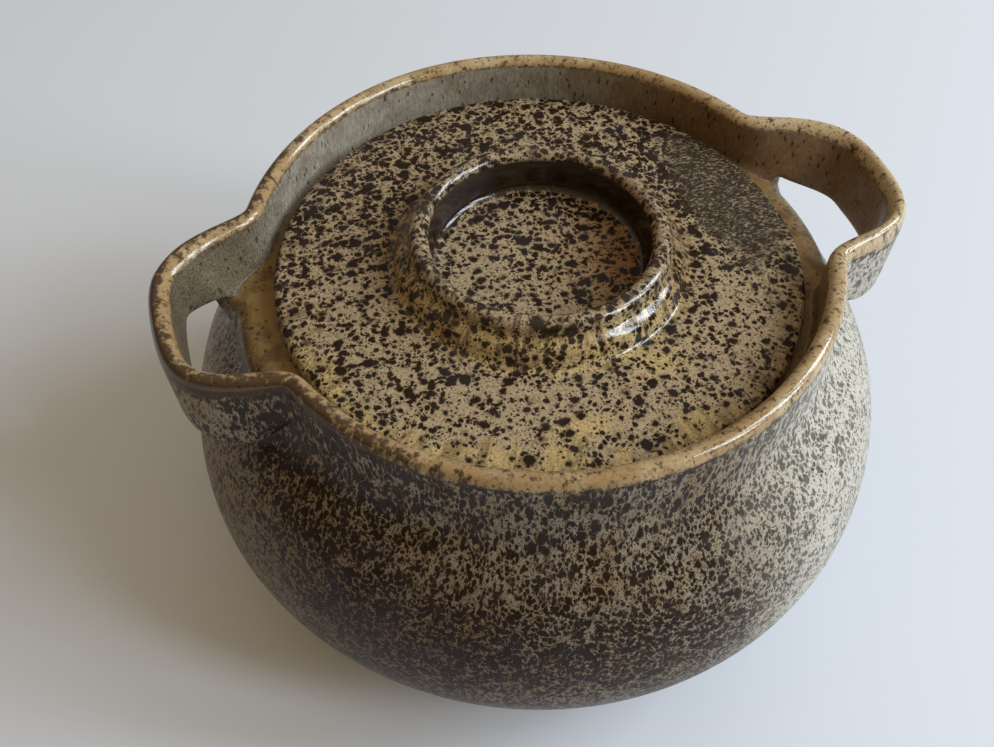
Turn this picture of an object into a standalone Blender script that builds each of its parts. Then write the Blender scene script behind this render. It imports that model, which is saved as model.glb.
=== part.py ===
"""Stoneware soup tureen: a thrown pot whose collar is drawn out into two loop handles, and a loose lid.

Units are metres, +Z is up. The origin is the centre of the foot's underside and the handles lie
along X. The lid rests on a gallery inside the collar and lifts straight up.
"""

import math

import bmesh
import bpy
from mathutils import Matrix, Vector

COLLECTION_NAME = "soup_tureen"
CUTTER_COLLECTION_NAME = "soup_tureen_cutters"

# Gaps and overruns
JOINT_GAP = 0.0003          # air left between two pieces that touch
CUT_OVERRUN = 0.003         # how far a cutter runs past what it cuts

# Lid plate
LID_RADIUS = 0.085
LID_EDGE_HEIGHT = 0.006     # from the ledge it rests on to the top of its edge
LID_DOME_RISE = 0.0012      # the middle stands this much above the edge
LID_EDGE_ROUND = 0.0022     # rounding of the edge's upper corner
LID_UNDER_ROUND = 0.0012    # rounding of the edge's lower corner
LID_SLOPE_WIDTH = 0.034     # width of the sloping outer band

# Ring knob on the lid
RING_INNER_RADIUS = 0.0351
RING_WALL = 0.0064          # thickness at the crest
RING_HEIGHT = 0.0125
RING_FLARE = 0.0052         # how far the outer foot spreads past the crest's outer side
RING_FOOT_LIP = 0.0008      # thickness of the spread foot's edge

# Collar, the gallery inside it and the side gap round the lid
LID_SIDE_GAP = 0.0040
COLLAR_WALL = 0.0060
COLLAR_HEIGHT = 0.0190      # from the ledge to the rim's top
COLLAR_INNER_FILLET = 0.0015
LEDGE_SEAT = 0.0070         # width of ledge under the lid's edge
GALLERY_THICKNESS = 0.0080
GALLERY_NOSE_ROUND = 0.0020
GALLERY_EDGE_ROUND = 0.0032  # rounding of the gallery's outer edge under each handle
ROOT_CUT_TILT = 0.0005      # the cut under a handle's root falls from this much over the ledge to under it

# Body
BELLY_OVERHANG = 0.0247     # the belly stands this much outside the collar
BELLY_HEIGHT = 0.0615       # height of the widest circle
LEDGE_RISE = 0.0602         # from the widest circle up to the ledge
SHOULDER_HEIGHT = 0.0521    # height of the shoulder's elliptic arc above the widest circle
SHOULDER_TUCK = 0.0116      # the arc's centre lies this much inside the collar's outer side
SHOULDER_JOIN_ANGLE = 58    # degrees up the arc to where the neck's hollow curve takes over
NECK_BLEND = 0.0070         # height of the hollow curve between collar and shoulder
LOWER_DEPTH = 0.0571        # depth of the lower elliptic arc under the widest circle
LOWER_CENTRE_RADIUS = 0.0429
WALL = 0.0060
FLOOR_THICKNESS = 0.0070

# Foot ring
FOOT_RADIUS = 0.0615
FOOT_WIDTH = 0.0090
FOOT_CONTACT_WIDTH = 0.0060
FOOT_RECESS = 0.0040
FOOT_CHAMFER = 0.0010

# Handles: arcs of the collar drawn outwards
HANDLE_PULL = 0.0267        # how far the crest is drawn out at the middle
HANDLE_LEAN = 0.0016        # the lower edge is drawn out this much less
HANDLE_DROP = 0.0092        # the lower edge sinks this much at the middle
HANDLE_LOWER_ROUND = 0.0016
HANDLE_ROOT_ANGLE = 27.5    # degrees from a handle's middle to its root
SLIT_ANGLE = 17.0           # degrees from a handle's middle to where the slit over the gallery ends
HANDLE_DROP_START_SHARE = 0.3  # share of the pull from which the lower edge sinks
PULL_EASE_FACTOR = 2.5      # how gently the pull runs out at its ends
DROP_EASE_FACTOR = 3.0      # how soon the lower edge gets to its full drop
PATH_ANGLE_STEP = 0.25      # degrees either side, to find a drawn-out wall's direction
HANDLES = {
    # name: azimuth of the middle, fullness of the front, half angles where the pull ends, and how far
    # the strap is drawn out and how thick it is there, as shares of HANDLE_PULL and COLLAR_WALL
    "handle_right": {"azimuth": -2.0, "fullness": 3.8, "ends": (21.8, 24.6),
                     "reach_share": 1.0163, "thick_share": 0.95},
    "handle_left": {"azimuth": 182.7, "fullness": 4.1, "ends": (26.4, 20.2),
                    "reach_share": 1.0, "thick_share": 1.1},
}

SHARP_ANGLE = 40            # degrees; a steeper corner stays sharp in the shading

# Facets
TURN_STEPS = 64
HANDLE_STEPS = 30
ROUND_STEPS = 6
CORNER_STEPS = 3
CURVE_STEPS = 7

# Heights and radii that follow from the sizes above
COLLAR_INNER_RADIUS = LID_RADIUS + LID_SIDE_GAP
COLLAR_MIDDLE_RADIUS = COLLAR_INNER_RADIUS + COLLAR_WALL / 2
COLLAR_OUTER_RADIUS = COLLAR_INNER_RADIUS + COLLAR_WALL
LEDGE_INNER_RADIUS = LID_RADIUS - LEDGE_SEAT
BELLY_RADIUS = COLLAR_OUTER_RADIUS + BELLY_OVERHANG
LEDGE_Z = BELLY_HEIGHT + LEDGE_RISE
RIM_TOP_Z = LEDGE_Z + COLLAR_HEIGHT
LID_UNDER_Z = LEDGE_Z + JOINT_GAP
LID_EDGE_Z = LEDGE_Z + LID_EDGE_HEIGHT
LID_TOP_Z = LID_EDGE_Z + LID_DOME_RISE
RING_SEAT_Z = LID_TOP_Z + JOINT_GAP
HANDLE_LOWER_Z = LEDGE_Z + JOINT_GAP
HANDLE_HEIGHT = RIM_TOP_Z - HANDLE_LOWER_Z


def arc(centre, radii, start, end, steps):
    """Points on an elliptic arc in the (radius, height) plane, from start to end in degrees."""
    points = []
    for step in range(steps + 1):
        angle = math.radians(start + (end - start) * step / steps)
        points.append((centre[0] + radii[0] * math.cos(angle), centre[1] + radii[1] * math.sin(angle)))
    return points


def blend_curve(start, corner, end, steps):
    """Points on the parabola that leaves start towards corner and arrives at end from corner."""
    points = []
    for step in range(steps + 1):
        t = step / steps
        weights = ((1 - t) ** 2, 2 * t * (1 - t), t ** 2)
        points.append(tuple(sum(w * p[axis] for w, p in zip(weights, (start, corner, end)))
                            for axis in (0, 1)))
    return points


def smooth_step(value):
    """Ease from 0 to 1 while value goes from 0 to 1."""
    value = min(max(value, 0.0), 1.0)
    return value * value * (3 - 2 * value)


def new_object(name, mesh, collection):
    """Add an object that holds mesh to the collection."""
    obj = bpy.data.objects.new(name, mesh)
    collection.objects.link(obj)
    return obj


def set_glaze(obj, colour, roughness):
    """Give the object its own glaze."""
    material = bpy.data.materials.new(obj.name + "_glaze")
    material.use_nodes = True
    shader = material.node_tree.nodes["Principled BSDF"]
    shader.inputs["Base Color"].default_value = (*colour, 1.0)
    shader.inputs["Roughness"].default_value = roughness
    shader.inputs["Metallic"].default_value = 0.0
    material.diffuse_color = (*colour, 1.0)
    obj.data.materials.append(material)


def finish_shading(obj):
    """Shade the round surface smooth and keep its true corners sharp."""
    obj.data.shade_smooth()
    obj.data.set_sharp_from_angle(angle=math.radians(SHARP_ANGLE))


def turned(name, profile, closed, collection):
    """A turned solid: the profile runs down its outer side, and the Screw modifier turns it about Z."""
    shape = bmesh.new()
    verts = [shape.verts.new((radius, 0.0, height)) for radius, height in profile]
    pairs = list(zip(verts, verts[1:]))
    if closed:
        pairs.append((verts[-1], verts[0]))
    for first, second in pairs:
        shape.edges.new((first, second))
    mesh = bpy.data.meshes.new(name)
    shape.to_mesh(mesh)
    shape.free()
    obj = new_object(name, mesh, collection)
    screw = obj.modifiers.new("turn", "SCREW")
    screw.axis = "Z"
    screw.angle = math.tau
    screw.steps = TURN_STEPS
    screw.render_steps = TURN_STEPS
    screw.use_merge_vertices = True
    screw.merge_threshold = 0.00001
    screw.use_smooth_shade = True
    return obj


def sector_mesh(outline, middle, half_angle, steps):
    """A closed solid: the outline turned about Z from half_angle before middle to half_angle after."""
    shape = bmesh.new()
    verts = [shape.verts.new((radius, 0.0, height)) for radius, height in outline]
    shape.faces.new(verts)
    start = Matrix.Rotation(math.radians(middle - half_angle), 3, "Z")
    bmesh.ops.rotate(shape, verts=shape.verts, cent=(0, 0, 0), matrix=start)
    first_cap = list(shape.faces)
    bmesh.ops.spin(shape, geom=shape.verts[:] + shape.edges[:] + first_cap, cent=(0, 0, 0), axis=(0, 0, 1),
                   angle=math.radians(2 * half_angle), steps=steps)
    bmesh.ops.remove_doubles(shape, verts=shape.verts, dist=JOINT_GAP / 10)
    open_edges = [edge for edge in shape.edges if edge.is_boundary]
    if open_edges:
        bmesh.ops.holes_fill(shape, edges=open_edges)
    bmesh.ops.recalc_face_normals(shape, faces=shape.faces)
    return shape


def shoulder_join():
    """Where the hollow neck curve meets the shoulder arc, with the arc's tangent crossing the collar."""
    centre_radius = COLLAR_OUTER_RADIUS - SHOULDER_TUCK
    half_width = BELLY_RADIUS - centre_radius
    join_angle = math.radians(SHOULDER_JOIN_ANGLE)
    join = (centre_radius + half_width * math.cos(join_angle),
            BELLY_HEIGHT + SHOULDER_HEIGHT * math.sin(join_angle))
    slope = (SHOULDER_HEIGHT * math.cos(join_angle)) / (half_width * math.sin(join_angle))
    corner = (COLLAR_OUTER_RADIUS, join[1] + (join[0] - COLLAR_OUTER_RADIUS) * slope)
    return join, corner


def body_outer_side():
    """The pot's outer side from the collar down to the foot's contact face."""
    centre_radius = COLLAR_OUTER_RADIUS - SHOULDER_TUCK
    join, corner = shoulder_join()
    neck = blend_curve((COLLAR_OUTER_RADIUS, corner[1] + NECK_BLEND), corner, join, CORNER_STEPS)
    shoulder = arc((centre_radius, BELLY_HEIGHT), (BELLY_RADIUS - centre_radius, SHOULDER_HEIGHT),
                   SHOULDER_JOIN_ANGLE, 0, CURVE_STEPS - 2)
    lower_width = BELLY_RADIUS - LOWER_CENTRE_RADIUS
    foot_angle = math.degrees(math.acos((FOOT_RADIUS - LOWER_CENTRE_RADIUS) / lower_width))
    lower = arc((LOWER_CENTRE_RADIUS, BELLY_HEIGHT), (lower_width, LOWER_DEPTH), 0, -foot_angle, CURVE_STEPS)
    contact_outer = FOOT_RADIUS - (FOOT_WIDTH - FOOT_CONTACT_WIDTH) / 2
    foot = [(contact_outer + FOOT_CHAMFER, FOOT_CHAMFER), (contact_outer, 0.0)]
    return neck[:-1] + shoulder[:-1] + lower + foot


def body_underside():
    """From the foot's contact face inwards to the middle of the recess."""
    contact_inner = FOOT_RADIUS - (FOOT_WIDTH + FOOT_CONTACT_WIDTH) / 2
    return [(contact_inner, 0.0), (contact_inner - FOOT_CHAMFER, FOOT_CHAMFER),
            (FOOT_RADIUS - FOOT_WIDTH, FOOT_RECESS), (0.0, FOOT_RECESS)]


def body_inner_side():
    """From the middle of the floor up the inner side to the gallery's underside."""
    floor_z = FOOT_RECESS + FLOOR_THICKNESS
    lower = arc((LOWER_CENTRE_RADIUS, BELLY_HEIGHT),
                (BELLY_RADIUS - WALL - LOWER_CENTRE_RADIUS, BELLY_HEIGHT - floor_z), -90, 0, CURVE_STEPS)
    under_gallery = (LEDGE_INNER_RADIUS + GALLERY_NOSE_ROUND, LEDGE_Z - GALLERY_THICKNESS)
    upper = arc((under_gallery[0], BELLY_HEIGHT),
                (BELLY_RADIUS - WALL - under_gallery[0], under_gallery[1] - BELLY_HEIGHT), 0, 90,
                CURVE_STEPS - 1)
    return [(0.0, floor_z)] + lower[:-1] + upper


def gallery_and_collar():
    """Round the gallery's nose, along the ledge, up the collar's inner side and over the rim."""
    nose = GALLERY_NOSE_ROUND
    lower_nose = (LEDGE_INNER_RADIUS, LEDGE_Z - GALLERY_THICKNESS + nose)
    upper_nose = arc((LEDGE_INNER_RADIUS + nose, LEDGE_Z - nose), (nose, nose), 180, 90, CORNER_STEPS - 1)
    fillet = COLLAR_INNER_FILLET
    corner = arc((COLLAR_INNER_RADIUS - fillet, LEDGE_Z + fillet), (fillet, fillet), -90, 0, CORNER_STEPS - 1)
    half_wall = COLLAR_WALL / 2
    rim = arc((COLLAR_MIDDLE_RADIUS, RIM_TOP_Z - half_wall), (half_wall, half_wall), 180, 0, ROUND_STEPS)
    return [lower_nose] + upper_nose + corner + rim


def sector_cutter(name, outline, azimuth, half_angle, collection):
    """A hidden cutter: the outline turned over a sector."""
    shape = sector_mesh(outline, azimuth, half_angle, HANDLE_STEPS // 3)
    mesh = bpy.data.meshes.new(name)
    shape.to_mesh(mesh)
    shape.free()
    cutter = new_object(name, mesh, collection)
    cutter.hide_render = True
    cutter.display_type = "WIRE"
    return cutter


def handle_cutters(name, azimuth, collection):
    """The space of one handle: the collar's arc is cut away, and the gallery's edge rounded at the slit."""
    edge = GALLERY_EDGE_ROUND
    outer = COLLAR_OUTER_RADIUS
    beyond = outer + CUT_OVERRUN
    inside = COLLAR_INNER_RADIUS - CUT_OVERRUN
    crest = RIM_TOP_Z + CUT_OVERRUN
    above = LEDGE_Z + CUT_OVERRUN
    collar = [(inside, LEDGE_Z + ROOT_CUT_TILT), (beyond, LEDGE_Z - ROOT_CUT_TILT), (beyond, crest),
              (inside, crest)]
    rounding = arc((outer - edge, LEDGE_Z - edge), (edge, edge), 90, 0, CORNER_STEPS)
    gallery_edge = rounding + [(beyond, LEDGE_Z - edge), (beyond, above), (outer - edge, above)]
    root_angle = HANDLE_ROOT_ANGLE + math.degrees(JOINT_GAP / COLLAR_MIDDLE_RADIUS)
    return [sector_cutter("collar_" + name, collar, azimuth, root_angle, collection),
            sector_cutter("edge_" + name, gallery_edge, azimuth, SLIT_ANGLE, collection)]


def build_pot_body(collection, cutters):
    """The bowl with its foot ring, shoulder, gallery and the two plain arcs of the collar."""
    profile = body_inner_side() + gallery_and_collar() + body_outer_side() + body_underside()
    body = turned("pot_body", profile, False, collection)
    for name, handle in HANDLES.items():
        for cutter in handle_cutters(name, handle["azimuth"], cutters):
            cut = body.modifiers.new(cutter.name, "BOOLEAN")
            cut.operation = "DIFFERENCE"
            cut.solver = "EXACT"
            cut.object = cutter
    set_glaze(body, (0.17, 0.135, 0.095), 0.4)
    finish_shading(body)
    return body


def pull_share(handle, angle):
    """How much of the full pull the collar gets at an angle (degrees) from the handle's middle."""
    end = handle["ends"][1] if angle > 0 else handle["ends"][0]
    along = min(abs(angle) / end, 1.0)
    return (1 - along ** handle["fullness"]) ** PULL_EASE_FACTOR


def drawn_path(handle, angle, depth_share):
    """Middle of the drawn-out wall in plan; depth_share is 0 at the crest and 1 at the lower edge."""
    pull = pull_share(handle, angle) * (HANDLE_PULL * handle["reach_share"] - HANDLE_LEAN * depth_share)
    turn = math.radians(handle["azimuth"] + angle)
    return Vector((math.cos(turn), math.sin(turn))) * (COLLAR_MIDDLE_RADIUS + pull)


def draw_out(handle, point):
    """Move a point of the collar's arc to its place in the drawn-out handle."""
    turn = math.degrees(math.atan2(point.y, point.x))
    angle = (turn - handle["azimuth"] + 180) % 360 - 180
    depth_share = (RIM_TOP_Z - point.z) / HANDLE_HEIGHT
    ahead = drawn_path(handle, angle + PATH_ANGLE_STEP, depth_share)
    along = ahead - drawn_path(handle, angle - PATH_ANGLE_STEP, depth_share)
    outwards = Vector((along.y, -along.x)).normalized()
    share = pull_share(handle, angle)
    thickness = 1 + (handle["thick_share"] - 1) * share
    place = drawn_path(handle, angle, depth_share)
    place += outwards * (math.hypot(point.x, point.y) - COLLAR_MIDDLE_RADIUS) * thickness
    freed = max((share - HANDLE_DROP_START_SHARE) / (1 - HANDLE_DROP_START_SHARE), 0.0)
    sink = HANDLE_DROP * (1 - (1 - freed) ** DROP_EASE_FACTOR) * depth_share
    return Vector((place.x, place.y, point.z - sink))


def build_handle(name, handle, collection):
    """One loop handle: an arc of the collar, slit free of the gallery and drawn outwards."""
    half_wall = COLLAR_WALL / 2
    corner = HANDLE_LOWER_ROUND
    outline = arc((COLLAR_MIDDLE_RADIUS, RIM_TOP_Z - half_wall), (half_wall, half_wall), 180, 0, ROUND_STEPS)
    outline += arc((COLLAR_OUTER_RADIUS - corner, HANDLE_LOWER_Z + corner), (corner, corner), 0, -90,
                   CORNER_STEPS - 1)
    outline += arc((COLLAR_INNER_RADIUS + corner, HANDLE_LOWER_Z + corner), (corner, corner), -90, -180,
                   CORNER_STEPS - 1)
    shape = sector_mesh(outline, handle["azimuth"], HANDLE_ROOT_ANGLE, HANDLE_STEPS)
    for vert in shape.verts:
        vert.co = draw_out(handle, vert.co)
    mesh = bpy.data.meshes.new(name)
    shape.to_mesh(mesh)
    shape.free()
    obj = new_object(name, mesh, collection)
    set_glaze(obj, (0.27, 0.17, 0.085), 0.3)
    finish_shading(obj)
    return obj


def build_lid_plate(collection):
    """The loose lid: a thick disc with a softly rounded edge, barely domed."""
    flat_radius = LID_RADIUS - LID_SLOPE_WIDTH
    upper = LID_EDGE_ROUND
    lower = LID_UNDER_ROUND
    slope = [(flat_radius + LID_SLOPE_WIDTH / 2, LID_TOP_Z - LID_DOME_RISE * smooth_step(0.5))]
    edge = arc((LID_RADIUS - upper, LID_EDGE_Z - upper), (upper, upper), 90, 0, CORNER_STEPS)
    under = arc((LID_RADIUS - lower, LID_UNDER_Z + lower), (lower, lower), 0, -90, CORNER_STEPS - 1)
    profile = [(0.0, LID_TOP_Z), (flat_radius, LID_TOP_Z)] + slope + edge + under + [(0.0, LID_UNDER_Z)]
    plate = turned("lid_plate", profile, False, collection)
    set_glaze(plate, (0.30, 0.235, 0.15), 0.45)
    finish_shading(plate)
    return plate


def build_ring_knob(collection):
    """The low hollow ring that the lid is lifted by, spread at its foot."""
    half_wall = RING_WALL / 2
    middle = RING_INNER_RADIUS + half_wall
    outer = RING_INNER_RADIUS + RING_WALL
    crest_z = RING_SEAT_Z + RING_HEIGHT
    crest = arc((middle, crest_z - half_wall), (half_wall, half_wall), 180, 0, ROUND_STEPS)
    spread = (outer + RING_FLARE, RING_SEAT_Z + RING_FOOT_LIP)
    flare = blend_curve(crest[-1], (outer, RING_SEAT_Z + RING_FOOT_LIP), spread, CORNER_STEPS + 1)
    profile = crest + flare[1:] + [(spread[0], RING_SEAT_Z), (RING_INNER_RADIUS, RING_SEAT_Z)]
    ring = turned("lid_ring_knob", profile, True, collection)
    set_glaze(ring, (0.24, 0.18, 0.11), 0.3)
    finish_shading(ring)
    return ring


def main():
    for obj in list(bpy.data.objects):
        bpy.data.objects.remove(obj, do_unlink=True)
    collection = bpy.data.collections.new(COLLECTION_NAME)
    cutters = bpy.data.collections.new(CUTTER_COLLECTION_NAME)
    for group in (collection, cutters):
        bpy.context.scene.collection.children.link(group)
    build_pot_body(collection, cutters)
    for name, handle in HANDLES.items():
        build_handle(name, handle, collection)
    plate = build_lid_plate(collection)
    ring = build_ring_knob(collection)
    ring.parent = plate


if __name__ == "__main__":
    main()
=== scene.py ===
"""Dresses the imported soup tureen: a thrown and glazed pot, its loose lid, and a plain studio.

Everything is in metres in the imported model's frame, with +Z up and the handles along X.
"""

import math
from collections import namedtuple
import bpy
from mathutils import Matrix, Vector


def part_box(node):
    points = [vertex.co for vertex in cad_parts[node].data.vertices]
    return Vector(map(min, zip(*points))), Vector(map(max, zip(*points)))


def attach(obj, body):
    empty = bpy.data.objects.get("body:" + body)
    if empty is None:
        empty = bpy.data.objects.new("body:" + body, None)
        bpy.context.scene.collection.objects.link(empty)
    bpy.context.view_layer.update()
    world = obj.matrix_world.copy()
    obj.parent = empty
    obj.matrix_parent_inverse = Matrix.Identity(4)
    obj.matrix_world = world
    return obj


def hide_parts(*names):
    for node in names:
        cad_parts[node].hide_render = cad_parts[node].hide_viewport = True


bl_info = {
    "name": "Glazed Soup Tureen",
    "version": (1, 0, 0),
    "blender": (4, 5, 0),
    "location": "View3D > Sidebar > Tureen",
    "description": "Throws the pot and the lid of a stoneware tureen, glazes them and sets a plain studio",
    "category": "Object",
}

import bmesh
import bpy
from bpy.props import FloatProperty, FloatVectorProperty, IntProperty, PointerProperty
from bpy.types import Operator, Panel, PropertyGroup
from mathutils import Matrix, Vector, noise

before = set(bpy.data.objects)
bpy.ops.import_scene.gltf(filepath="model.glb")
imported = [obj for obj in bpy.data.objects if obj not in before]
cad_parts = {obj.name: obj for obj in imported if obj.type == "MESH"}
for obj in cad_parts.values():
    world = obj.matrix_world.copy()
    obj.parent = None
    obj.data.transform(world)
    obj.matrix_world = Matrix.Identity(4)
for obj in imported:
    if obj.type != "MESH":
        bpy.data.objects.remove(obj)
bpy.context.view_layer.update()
POT_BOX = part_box("pot_body")
LID_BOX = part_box("lid_plate")
RING_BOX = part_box("lid_ring_knob")
HANDLE_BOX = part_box("handle_right")

PHOTO_WIDTH = 994
PHOTO_HEIGHT = 747
SENSOR_WIDTH_MM = 36.0
PANES = 3
PANE_WIDTH = 0.40
PANE_HEIGHT = 1.15
PANE_PITCH = 0.68
WINDOW_AIM_HEIGHT = 0.07        # the panes face a point this high on the pot's axis
FLOOR_SIZE = 6.0
FLOOR_ROUGHNESS = 0.65
ROOM_TOP = 0.9                  # the room's light has its full strength from this far up (1 is overhead)
COOL_DIRECTION = (0.7, 0.7, 0.0)
COOL_SPAN = 0.6                 # the room turns from warm to cool over this much to each side

SHOULDER_JOIN_ANGLE = 58        # degrees up the shoulder's arc to the neck's hollow curve
NECK_STEPS = 24                 # points on that curve; the slit's outer side takes the upper half
COLUMN_CROWDING = 0.45          # how much closer the pot's columns stand near the handles
SLIT_LAYERS = ("across", "span_out", "span_down", "lower")
SLIT_CUTS = 5                   # rows of points between the slit's inner and outer edge
HANDLE_SPAN = 30                # degrees from a handle's middle that its pull can reach
PULL_FADE = 2.5                 # how softly the pull runs out
COLLAR_PARTS = ("inner_face", "crest", "outer_face")
RIM_WAVES = ((2, 0.7, 0.6), (5, 1.9, 0.4))      # waves round the rim, their phase and share
GLOSSY_SHARE = 0.6              # faces that lie this far in a glossy zone get the glossy glaze
# Points of the foot ring's section: in from its top radius, and up. The recess starts at its width.
FOOT_RING = ((0.0007, 0.0012), (0.0015, 0.0002), (0.0022, 0.0), (0.0069, 0.0), (0.0085, 0.0010))
FOOT_RING_WIDTH = 0.0092
# Points that guide the knob's flank: out from its outer side, and up from the lid's top.
KNOB_FLANK = ((0.0, 0.0080), (0.0007, 0.0073), (0.0023, 0.0060), (0.0037, 0.0049), (0.0046, 0.0026),
              (0.0055, 0.0001))
KNOB_RUN_OUT = 0.0016           # how far the flank runs on past the ring's foot

SATIN = 0.17                    # specular level of the speckled glaze
GLOSSY = 0.60                   # and of the rim and the knob
SATIN_ROUGHNESS = 0.36
GLOSS_SMOOTHING = 0.23          # how much less rough the glossy glaze is
CLAY_ROUGHENING = 0.50          # how much more rough the bare clay is
RELIEF_DEPTH = 0.00016
RELIEF_STRENGTH = 0.6
PEEL = 0.6                      # share of the relief that is orange peel
DROP_SINK = 0.5                 # share by which the dark drops are sunk in it
FLOW_START = 0.098              # above this height the glaze ran straight down
FLOW_ROUND = 0.85               # the pattern counts this share of the height, which stretches it down
FLOW_STEEP = 0.42               # and this much less above that height
# The middle, small and large dark drops: cells per metre, the share of the cover that they take, what is
# added to it, and how much they vary in size.
DROPS = ((430, 1.0, 0.0, 0.5), (900, 0.9, -0.04, 0.5), (200, 0.62, 0.0, 0.9))
DROP_WARPS = ((300, 0.0024), (1100, 0.0006))    # cells per metre and depth of what bends their outlines
# How fine the speckle is, what is added for its large drops, and how much the drops clump.
SPECKLES = {
    "bowl": {"fine": 1.8, "large": 0.04, "clumping": 0.36},
    "lid": {"fine": 1.08, "large": 0.05, "clumping": 0.50},
}
# How much more of the ground the dark drops cover in a place.
COVER = {"bowl_purple": 0.08, "bowl_pale_and_sheen": -0.07, "lid_rear": 0.08, "lid_pooled": -0.10}
# How strongly one glaze lies over another in a place.
WASHES = {"bowl_brown_and_shade": 0.75, "bowl_pale_and_sheen": 0.75, "edge_pale": 0.7, "lid_runs": 0.6, "lid_dark": 0.45,
          "flank": 0.85, "flank_streaks": 0.85}
GRAIN_DARKENING = 0.50          # how far the grain goes towards the halo's brown
GALLERY_GLOSS = 0.5             # gloss of the smooth glaze inside the collar, next to the rim's
PALE_WANDER = 0.030             # how far the pale side's edge, partly painted sheen, wanders
RUST_OUTSIDE = 0.95             # share of the rust under the rim on the outside
RUST_LESS_INSIDE = 0.75         # and how much less there is inside
# Middle and half sizes of the patches on the bowl and the lid.
PATCHES = {
    "bowl_dark": ((-0.006, -0.116, 0.080), (0.075, 0.05, 0.022)),
    "bowl_purple": ((0.052, -0.106, 0.108), (0.03, 0.03, 0.015)),
    "bowl_brown_and_shade": ((-0.080, -0.080, 0.078), (0.120, 0.120, 0.050)),
    "lid_dark": ((0.070, 0.011, 0.128), (0.030, 0.066, 0.05)),
    "lid_pool": ((-0.010, -0.068, 0.128), (0.016, 0.007, 0.010)),
    "lid_small_pool": ((0.020, -0.052, 0.128), (0.014, 0.009, 0.010)),
    "knob_shadow": ((0.029, -0.008, 0.126), (0.034, 0.038, 0.014)),
}
# Noises: cells per metre, detail and roughness, the span that eases and the values that it goes between
# where they aren't 0 and 1, and how the coordinates are stretched.
Noise = namedtuple("Noise", "scale detail roughness span values stretch", defaults=((0, 1), (0, 1), None))
NOISES = {
    "peel": Noise(420, 3, 0.6),
    "clumps": Noise(150, 2, 0.5),
    "grain": Noise(1500, 2, 0.7, (0.36, 0.62)),
    "bowl_grain": Noise(2300, 2, 0.7, (0.36, 0.62)),
    "plum": Noise(90, 2, 0.5, (0.45, 0.62)),
    "bowl_patches": Noise(17, 3, 0.55, (0.32, 0.68), (0.385, 0.465), stretch=(1, 1, 1.8)),
    "bowl_tints": Noise(48, 3, 0.6, (0.42, 0.60)),
    "bowl_bands": Noise(24, 2, 0.5, values=(-0.06, 0.06), stretch=(1, 1, 9)),
    "bowl_wisps": Noise(420, 3, 0.6, values=(0.618, -0.282), stretch=(1, 1, 2.2)),
    "collar_streaks": Noise(900, 3, 0.7, (0.40, 0.62), (0, 0.36), stretch=(1, 1, 0.3)),
    "collar_clouds": Noise(110, 3, 0.6, (0.42, 0.66), (0, 0.34)),
    "collar_grain": Noise(2600, 3, 0.7, (0.50, 0.58), (0, 0.7), stretch=(1, 1, 0.55)),
    "gallery_clouds": Noise(130, 3, 0.65, (0.45, 0.68), (0, 0.75)),
    "edge_pale": Noise(75, 3, 0.6, (0.42, 0.68)),
    "edge_streaks": Noise(1100, 3, 0.7, (0.48, 0.70), (0, 0.5), stretch=(1, 1, 0.3)),
    "edge_mottles": Noise(360, 4, 0.7, stretch=(1, 1, 0.3)),
    "edge_ragged": Noise(190, 5, 0.75, values=(-0.75, 0.75)),
    "edge_rust": Noise(420, 4, 0.7, (0.43, 0.54)),
    "lid_runs": Noise(260, 4, 0.7, (0.46, 0.60)),
    "lid_breaks": Noise(110, 3, 0.6, (0.38, 0.60)),
    "lid_patches": Noise(22, 3, 0.55, (0.3, 0.7), (0.33, 0.41)),
    "lid_wisps": Noise(620, 3, 0.6, values=(0.722, -0.378), stretch=(0.7, 1.5, 1)),
    "lid_wander": Noise(150, 3, 0.6, values=(-0.018, 0.018)),
    "lid_threads": Noise(900, 4, 0.65, (0.51, 0.62)),
    "lid_thick": Noise(150, 4, 0.65, values=(-0.45, 0.45)),
    "knob_ragged": Noise(300, 3, 0.6, values=(-0.003, 0.003)),
    "knob_wander": Noise(160, 3, 0.6, values=(0, 0.008)),
}
# Specks on the smooth glazes: scale and depth of their warp, cells per metre, their size as a share of a
# cell, and the span and values that they ease over.
SPECKS = {
    "collar": (500, 0.0016, 420, 0.20, (-0.04, 0.05, 0, 0.75)),
    "gallery": (400, 0.0015, 330, 0.22, (-0.05, 0.06, 0, 0.7)),
    "edge": (500, 0.001, 480, 0.20, (-0.05, 0.05, 0, 0.65)),
}
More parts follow.
